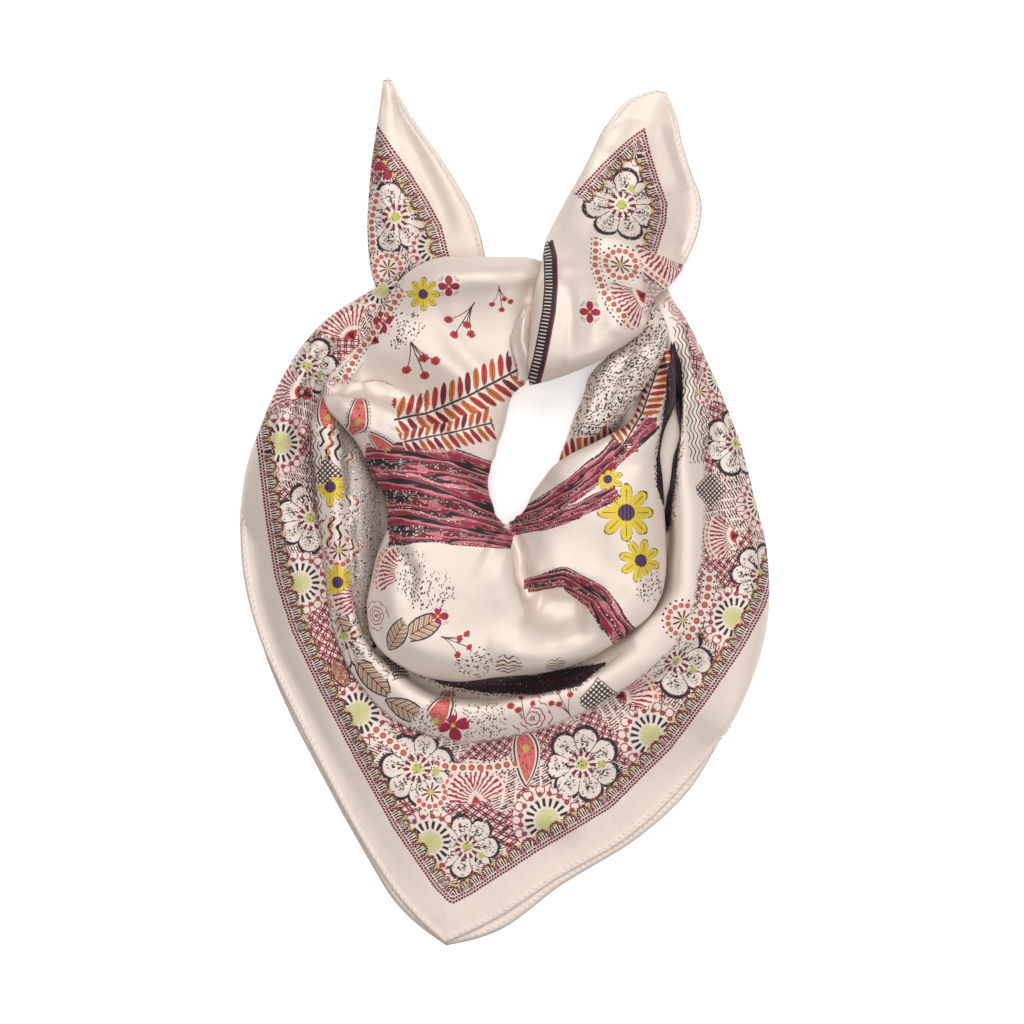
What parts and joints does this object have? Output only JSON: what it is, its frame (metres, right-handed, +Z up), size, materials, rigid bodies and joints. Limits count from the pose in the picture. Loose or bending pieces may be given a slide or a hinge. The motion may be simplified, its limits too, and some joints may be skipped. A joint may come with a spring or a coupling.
{
  "type": "silk square scarf, tied and laid flat",
  "caption": "Small silk square scarf folded on the diagonal, looped, knotted and laid flat with its two ends up.",
  "frame": {"origin": "centre of the bounding box in plan, on the table that the scarf lies on", "axes": "+X to the right and +Y up the page as seen from above, with the point of the triangle toward -Y and the two ends toward +Y; +Z up from the table"},
  "size_m": [0.2909, 0.4761, 0.047],
  "materials": {
    "printed_silk": null,
    "plain_silk": "silk satin, plain blush"
  },
  "bodies": {
    "root": {"front_panel": "printed_silk", "middle_fold": "printed_silk", "neck_loop": "printed_silk", "right_neck_band": "printed_silk", "knot_pleat": "printed_silk", "knot_and_right_ear": "printed_silk", "left_ear": "printed_silk", "under_leaf": "plain_silk", "core_layers": "plain_silk"}
  },
  "joints": []
}
